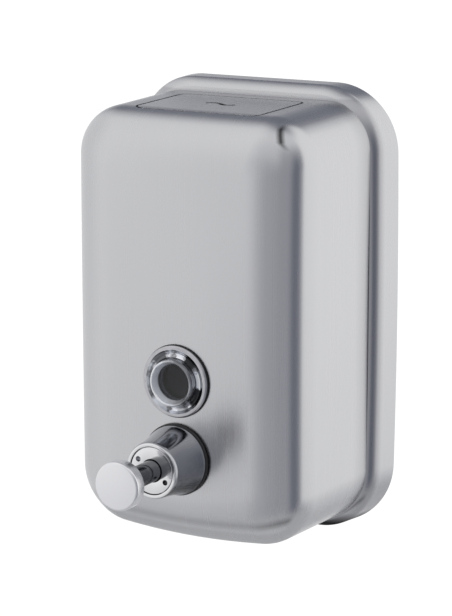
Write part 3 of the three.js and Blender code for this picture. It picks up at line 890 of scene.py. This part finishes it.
def plunger_stem():
    lowest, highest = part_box("plunger_stem")
    piston = highest.x
    stem = 5 * MM
    head = -84 * MM
    groove = piston - 1.8 * MM
    groove_front = head + 2 * MM
    groove_rear = highest.y - 2.4 * MM
    profile = rounded([
        (0, lowest.y, 0), (stem, lowest.y, 0.4 * MM), (stem, head, 0.3 * MM),
        (piston, head, 0.3 * MM), (piston, groove_front, 0.1 * MM), (groove, groove_front, 0),
        (groove, groove_rear, 0), (piston, groove_rear, 0.1 * MM), (piston, highest.y, 0.3 * MM),
        (0, highest.y, 0),
    ], closed=False)
    return revolve("plunger_stem_turned", profile, VALVE_AXIS, 96)


def push_button():
    lowest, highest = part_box("push_button")
    radius = highest.x
    socket = 5.3 * MM
    depth = 4.3 * MM
    profile = rounded([
        (0, lowest.y, 0), (radius, lowest.y, 1.1 * MM), (radius, highest.y, 0.7 * MM),
        (socket, highest.y, 0.3 * MM), (socket, highest.y - depth, 0), (0, highest.y - depth, 0),
    ], closed=False, steps=8)
    return revolve("push_button_cap", profile, VALVE_AXIS, 128)


show(soft_ring("valve_gasket_ring", "valve_gasket", 10.4 * MM, 0.5 * MM), "valve_gasket")
show(valve_body(), "valve_body")
show(retaining_ring(), "retaining_ring")
show(plunger_stem(), "plunger_stem", "plunger")
show(push_button(), "push_button", "plunger")


# ---- Wall bracket, its screws and the rail that hangs on it ----

def wall_bracket():
    """A flat plate with a hook bent out near its top and a tab at its bottom."""
    lowest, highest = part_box("wall_bracket")
    face = highest.y - 2 * MM
    sheet = 1.5 * MM
    holes = []
    for number in range(1, 5):
        screw = middle(f"bracket_screw_{number}")
        holes.append(circle(screw.x, screw.z, 2.6 * MM))
    sides = rectangle(lowest.x, highest.x, lowest.z, highest.z, 4 * MM)
    plate = extruded("plate", [sides, *holes], "Y", face, highest.y, 0.2 * MM)
    root = face + 0.1 * MM
    hook = extruded("hook", [rounded([
        (root, 66 * MM, 0), (-8 * MM, 66 * MM, 1.8 * MM), (-8 * MM, 82.2 * MM, 0.5 * MM),
        (-6.5 * MM, 82.2 * MM, 0.5 * MM), (-6.5 * MM, 67.5 * MM, 0.3 * MM), (root, 67.5 * MM, 0),
    ])], "X", lowest.x, highest.x, 0.15 * MM)
    lock = middle("lock_screw")
    half = 12 * MM
    tab = extruded("tab", [rounded([
        (-half, root, 0), (half, root, 0), (half, lowest.y, 3 * MM), (-half, lowest.y, 3 * MM),
    ]), circle(lock.x, lock.y, 2.3 * MM)], "Z", lowest.z, lowest.z + sheet, 0.15 * MM)
    return join("wall_bracket_plate", [plate, hook, tab])


def cross_recess(centre, arm, half, start, end):
    """The cutter for a cross recess in the head of a screw that faces -Y."""
    loop = []
    for turn in range(4):
        for a, b in ((half, half), (half, arm), (-half, arm)):
            c, s = (1, 0, -1, 0)[turn], (0, 1, 0, -1)[turn]
            loop.append((centre.x + a * c - b * s, centre.z + a * s + b * c))
    return extruded("recess", [loop], "Y", start, end)


def bracket_screw(node):
    """A pan-head screw with a cross recess, cut off at the wall."""
    lowest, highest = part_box(node)
    centre = middle(node)
    head = highest.x - centre.x
    top = lowest.y
    seat = top + 3 * MM
    shank = 2.2 * MM
    profile = rounded([
        (0, top, 0), (2.8 * MM, top, 0.9 * MM), (head - 0.1 * MM, top + 1.4 * MM, 1.2 * MM),
        (head, seat, 0.2 * MM), (shank, seat, 0), (shank, highest.y, 0), (0, highest.y, 0),
    ], closed=False)
    screw = revolve(f"{node}_pan_head", profile, centre, 64)
    return boolean(screw, cross_recess(centre, 2 * MM, 0.45 * MM, top - MM, top + 1.5 * MM))


def hanger_rail():
    """A channel bent from sheet, whose lip drops behind the bracket's hook."""
    lowest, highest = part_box("hanger_rail")
    sheet = 1.5 * MM
    front, rear, top = lowest.y, highest.y, highest.z
    lip = 70 * MM
    return extruded("hanger_rail_channel", [rounded([
        (front, lowest.z, 0.3 * MM), (front, top, 1.9 * MM), (rear, top, 1.9 * MM),
        (rear, lip, 0.3 * MM), (rear - sheet, lip, 0.3 * MM), (rear - sheet, top - sheet, 0.4 * MM),
        (front + sheet, top - sheet, 0.4 * MM), (front + sheet, lowest.z, 0.3 * MM),
    ])], "X", lowest.x, highest.x, 0.15 * MM)


def lock_screw():
    """A slotted screw that goes up through the pan's bottom edge."""
    lowest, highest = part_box("lock_screw")
    centre = middle("lock_screw")
    head = highest.x
    bottom = lowest.z
    seat = bottom + 2.3 * MM
    shank = 2 * MM
    profile = rounded([
        (0, bottom, 0), (head, bottom, 0.9 * MM), (head, seat, 0.2 * MM), (shank, seat, 0),
        (shank, highest.z, 0.5 * MM), (0, highest.z, 0),
    ], closed=False)
    screw = revolve("lock_screw_slotted", profile, centre, 64, axis="Z")
    half = 0.5 * MM
    slot = rectangle(-half, half, centre.y - 2 * head, centre.y + 2 * head, 0.1 * MM)
    return boolean(screw, extruded("slot", [slot], "Z", bottom - MM, bottom + MM))


show(wall_bracket(), "wall_bracket")
for number in range(1, 5):
    show(bracket_screw(f"bracket_screw_{number}"), f"bracket_screw_{number}")
show(hanger_rail(), "hanger_rail")
show(lock_screw(), "lock_screw")


# ---- Under the filler lid ----

UNDER_LID = SHEET + 0.3 * MM
HINGE = middle("hinge_pin")
PIN_HOLE = 1.8 * MM


def under_sheet(name, loops):
    """A patch of sheet that lies under the shell's top, with an outline seen from above."""
    sheet = sheet_body(name, shell_form, UNDER_LID + SHEET, UNDER_LID)
    return boolean(sheet, extruded("patch", loops, "Z", *THROUGH_TOP), "INTERSECT")


def lid_leaf():
    """The leaf under the lid, rolled into two knuckles round the hinge pin."""
    lowest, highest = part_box("lid_leaf")
    half = 26 * MM
    outline = rectangle(-half, half, lowest.y, highest.y, 2 * MM)
    key = rectangle(-9.5 * MM, 9.5 * MM, -51.3 * MM, -43.3 * MM, 1.5 * MM)
    parts = [under_sheet("leaf", [outline, key])]
    for x0, x1 in ((lowest.x, -21 * MM), (21 * MM, highest.x)):
        profile = rectangle(PIN_HOLE, 3 * MM, x0, x1, 0.25 * MM)
        parts.append(revolve("knuckle", profile + profile[:1], HINGE, 48, axis="X"))
    return join("lid_leaf_rolled", parts)


def hinge_pin():
    lowest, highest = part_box("hinge_pin")
    radius = (highest.z - lowest.z) / 2
    profile = rounded([
        (0, lowest.x, 0), (radius, lowest.x, 0.5 * MM), (radius, highest.x, 0.5 * MM),
        (0, highest.x, 0),
    ], closed=False)
    return revolve("hinge_pin_rod", profile, HINGE, 48, axis="X")


def hinge_ear(node, side):
    """A lug welded under the shell's top by its foot, with the hinge pin's hole in it."""
    lowest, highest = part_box(node)
    foot = under_sheet("foot", [rectangle(lowest.x, highest.x, lowest.y, highest.y, 1.5 * MM)])
    inner = highest.x if side < 0 else lowest.x
    sheet = (inner - SHEET, inner) if side < 0 else (inner, inner + SHEET)
    top = 97.6 * MM
    lug = extruded("lug", [rounded([
        (lowest.y, lowest.z, 4 * MM), (highest.y, lowest.z, 4 * MM), (highest.y, top, 0),
        (lowest.y, top, 0),
    ]), circle(HINGE.y, HINGE.z, PIN_HOLE)], "X", *sheet, 0.15 * MM)
    return join(f"{node}_lug", [foot, lug])


def latch_guide():
    """The open-fronted box in which the latch bolt slides."""
    lowest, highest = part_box("latch_guide")
    sheet = 1 * MM
    outer = rectangle(lowest.x, highest.x, lowest.y, highest.y, 1 * MM)
    inner = rectangle(lowest.x + sheet, highest.x - sheet, lowest.y - 5 * MM, highest.y - sheet,
                      0.4 * MM)
    guide = extruded("latch_guide_box", [outer], "Z", lowest.z, highest.z, 0.2 * MM)
    return boolean(guide, extruded("channel", [inner], "Z", lowest.z + sheet, highest.z + 5 * MM))


def latch_bolt():
    """A broad nose with a sloped top edge, and a tail with the key's notch in it."""
    lowest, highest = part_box("latch_bolt")
    left, right, front, rear = lowest.x, highest.x, lowest.y, highest.y
    shoulder = -60 * MM
    tail = 3 * MM
    outline = rounded([
        (left, front, 1 * MM), (right, front, 1 * MM), (right, shoulder, 0.5 * MM),
        (tail, shoulder, 0.5 * MM), (tail, rear, 0.8 * MM), (left, rear, 0.8 * MM),
    ])
    notch = rectangle(-6.5 * MM, 1 * MM, -50.3 * MM, -46.9 * MM, 0.5 * MM)
    bolt = extruded("latch_bolt_slide", [outline, notch], "Z", lowest.z, highest.z, 0.2 * MM)
    top = highest.z
    wedge = [(front - MM, top - 1.2 * MM), (front - MM, top + MM), (front + 2.4 * MM, top + MM)]
    return boolean(bolt, extruded("slope", [wedge], "X", 2 * left, 2 * right))


def spring(name, node, wire, turns):
    """A coil of round wire, its last turn at each end closed up flat."""
    lowest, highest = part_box(node)
    centre = middle(node)
    radius = (highest.z - lowest.z) / 2 - wire
    length = highest.y - lowest.y - 2 * wire
    closed = 2.1 * wire

    def climb(turn):
        if turn < 1:
            return closed * turn
        if turn > turns - 1:
            return length - closed * (turns - turn)
        return closed + (length - 2 * closed) * (turn - 1) / (turns - 2)

    steps = 32 * turns
    sides = 10
    rings = []
    for i in range(steps + 1):
        turn = turns * i / steps
        angle = 2 * math.pi * turn
        outward = Vector((math.cos(angle), 0, math.sin(angle)))
        spot = Vector((centre.x, lowest.y + wire + climb(turn), centre.z)) + outward * radius
        ring = []
        for k in range(sides):
            roll = 2 * math.pi * k / sides
            ring.append(spot + outward * wire * math.cos(roll) + Vector((0, wire * math.sin(roll), 0)))
        rings.append(ring)
    return loft(name, rings)


show(lid_leaf(), "lid_leaf", "lid")
show(hinge_pin(), "hinge_pin")
show(hinge_ear("hinge_ear_left", -1), "hinge_ear_left")
show(hinge_ear("hinge_ear_right", 1), "hinge_ear_right")
show(latch_guide(), "latch_guide", "lid")
show(latch_bolt(), "latch_bolt", "latch")
catch_spring = show(spring("latch_spring_coil", "latch_spring", 0.3 * MM, 8), "latch_spring", "lid")
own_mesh(catch_spring)


# ---- Behind the shell's front ----

def window_nut():
    """A round nut with finger grips round it."""
    lowest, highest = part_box("window_nut")
    centre = middle("window_nut")
    outer = highest.x
    grips = 14
    edge = []
    for i in range(grips * 12):
        turn = 2 * math.pi * i / (grips * 12)
        radius = outer - 0.7 * MM * max(0, math.cos(grips * turn)) ** 2
        edge.append((centre.x + radius * math.cos(turn), centre.z + radius * math.sin(turn)))
    bore = circle(centre.x, centre.z, WINDOW_HOLE, 96)
    return extruded("window_nut_ring", [edge, bore], "Y", lowest.y, highest.y, 0.3 * MM)


def valve_nut():
    """A hexagon nut with its corners eased."""
    lowest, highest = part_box("valve_nut")
    corners = []
    for turn in range(30, 390, 60):
        x, z = arc((VALVE_AXIS.x, VALVE_AXIS.z), highest.z - VALVE_AXIS.z, turn, turn, 1)[0]
        corners.append((x, z, 1.2 * MM))
    bore = circle(VALVE_AXIS.x, VALVE_AXIS.z, VALVE_HOLE, 72)
    return extruded("valve_nut_hexagon", [rounded(corners), bore], "Y", lowest.y, highest.y, 0.5 * MM)


def inlet_cap():
    """The plug in the rear of the valve's tube, with the check ball's seat in it."""
    lowest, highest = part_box("inlet_cap")
    front, rear = lowest.y, highest.y
    flange = highest.x
    plug = flange - 1.3 * MM
    pocket, inlet = 3.8 * MM, 2.2 * MM
    seat = rear - 2.5 * MM
    step = rear - 1.2 * MM
    profile = rounded([
        (pocket, front, 0.2 * MM), (plug, front, 0.6 * MM), (plug, step, 0), (flange, step, 0.2 * MM),
        (flange, rear, 0.4 * MM), (inlet, rear, 0.3 * MM), (inlet, seat, 0.2 * MM),
        (pocket, seat - 1.6 * MM, 0.2 * MM),
    ])
    return revolve("inlet_cap_plug", profile + profile[:1], VALVE_AXIS, 96)


def check_ball():
    lowest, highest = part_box("check_ball")
    centre = middle("check_ball")
    profile = arc((0, centre.y), (highest.y - lowest.y) / 2, -90, 90, 24)
    return revolve("check_ball_polished", profile, centre, 48)


def piston_seal():
    """A cup seal: its open lip faces the tank."""
    lowest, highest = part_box("piston_seal")
    front, rear = lowest.y, highest.y
    outer = highest.x
    inner = 6.7 * MM
    profile = rounded([
        (inner, front, 0.2 * MM), (outer - 0.15 * MM, front, 0.4 * MM), (outer, rear, 0.2 * MM),
        (outer - 0.5 * MM, rear, 0.1 * MM), ((inner + outer) / 2, rear - 1.6 * MM, 0.2 * MM),
        (inner + 0.4 * MM, rear, 0.1 * MM), (inner, rear, 0.1 * MM),
    ])
    return revolve("piston_seal_cup", profile + profile[:1], VALVE_AXIS, 96)


show(window_nut(), "window_nut")
show(soft_ring("valve_washer_ring", "valve_washer", 10.4 * MM, 0.4 * MM), "valve_washer")
show(valve_nut(), "valve_nut")
show(inlet_cap(), "inlet_cap")
show(check_ball(), "check_ball", "check_ball")
show(piston_seal(), "piston_seal", "plunger")
return_spring = show(spring("return_spring_coil", "return_spring", 0.6 * MM, 8), "return_spring")
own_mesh(return_spring)


# ---- Stage, light and camera ----

def studio_floor():
    disc = extruded("floor", [circle(0, 0, 0.3, 96)], "Z", -0.302, -0.3)
    material, _, _ = start_material("floor", (0.8, 0.8, 0.8), 0.0, 0.6)
    disc.data.materials.append(material)


ROOM_LIGHT = 0.5
COOL = 0.065  # how much bluer the darkest parts of the room are
# Each panel of the studio: azimuth of its middle, half its width and its soft edge, then the
# same for its height, all in degrees, and its light. Azimuth 0 is straight in front.
PANELS = {
    "floor_bounce": (0, 200, 10, -75, 29, 16, 0.46),
    "low_left": (-80, 56, 16, -38, 24, 14, 0.67),
    "low_right": (58, 52, 40, -55, 30, 30, 0.36),
    "front_right": (52, 40, 40, -10, 34, 30, 0.4),
    "upper_front": (-5, 32, 16, 30, 16, 16, 0.72),
    "overhead": (8, 98, 14, 60, 20, 14, 0.83),
    "left_softbox": (-62, 42, 28, 24, 44, 16, 0.95),
    "far_left": (-100, 40, 30, 0, 45, 30, 0.82),
    "back_sweep": (-163, 26, 14, -13, 16, 8, 1.06),
    "right_sweep": (133, 39, 8, 17, 43, 20, 1.0),
    "dim_ceiling": (-156, 30, 16, 45, 26, 16, 0.19),
    "dim_zenith": (175, 60, 24, 80, 14, 8, 0.22),
    "right_flag": (72, 13, 14, -16, 38, 20, 0.17),
    "low_back_flag": (-146, 34, 16, -60, 25, 14, 0.2),
}


def within(tree, angle, middle_angle, half, fade):
    """1 inside a range of angles and 0 outside it, with a soft edge; all in degrees."""
    offset = math_node(tree, "SUBTRACT", angle, math.radians(middle_angle))
    wrapped = math_node(tree, "WRAP", offset, math.pi, -math.pi)
    size = math_node(tree, "ABSOLUTE", wrapped)
    return remap(tree, size, 1, 0, math.radians(half - fade / 2), math.radians(half + fade / 2))


def studio_world():
    """Soft light from all round: a grey room with broad pale panels and dark flags."""
    world = bpy.data.worlds.new("studio")
    bpy.context.scene.world = world
    world.use_nodes = True
    tree = world.node_tree
    x, y, z = split_xyz(tree, add_node(tree, "TexCoord").outputs["Generated"])
    azimuth = math_node(tree, "ARCTAN2", x, product(tree, y, -1.0))
    height = math_node(tree, "ARCSINE", z)
    level = math_node(tree, "ADD", ROOM_LIGHT, 0.0)
    for turn, half_turn, side_fade, rise, half_rise, top_fade, light in PANELS.values():
        across = within(tree, azimuth, turn, half_turn, side_fade)
        share = product(tree, across, within(tree, height, rise, half_rise, top_fade))
        change = math_node(tree, "SUBTRACT", light, level)
        level = math_node(tree, "MULTIPLY_ADD", share, change, level)
    green = math_node(tree, "MULTIPLY_ADD", level, 1 - COOL / 6, COOL / 6)
    blue = math_node(tree, "MULTIPLY_ADD", level, 1 - COOL, COOL)
    color = add_node(tree, "CombineColor", Red=level, Green=green, Blue=blue)
    feed(tree, tree.nodes["Background"], Color=color.outputs["Color"])


# The camera: its angle round from straight in front, its angle up, its distance from the spot
# in the middle of the picture, and its focal length for a sensor 36 mm wide.
CAMERA_AZIMUTH = math.radians(29.94)
CAMERA_ELEVATION = math.radians(12.19)
CAMERA_DISTANCE = 1.1876
CAMERA_TARGET = Vector((-0.0244, 0, -0.009))
CAMERA_LENS = 140.5


def studio_camera():
    data = bpy.data.cameras.new("camera")
    data.sensor_width = 36
    data.lens = CAMERA_LENS
    camera = bpy.data.objects.new("camera", data)
    bpy.context.scene.collection.objects.link(camera)
    level = math.cos(CAMERA_ELEVATION)
    back = Vector((math.sin(CAMERA_AZIMUTH) * level, -math.cos(CAMERA_AZIMUTH) * level,
                   math.sin(CAMERA_ELEVATION)))
    camera.location = CAMERA_TARGET + back * CAMERA_DISTANCE
    camera.rotation_mode = "QUATERNION"
    camera.rotation_quaternion = (-back).to_track_quat("-Z", "Y")
    bpy.context.scene.camera = camera


studio_floor()
studio_world()
studio_camera()
bpy.context.scene.view_settings.view_transform = "Standard"
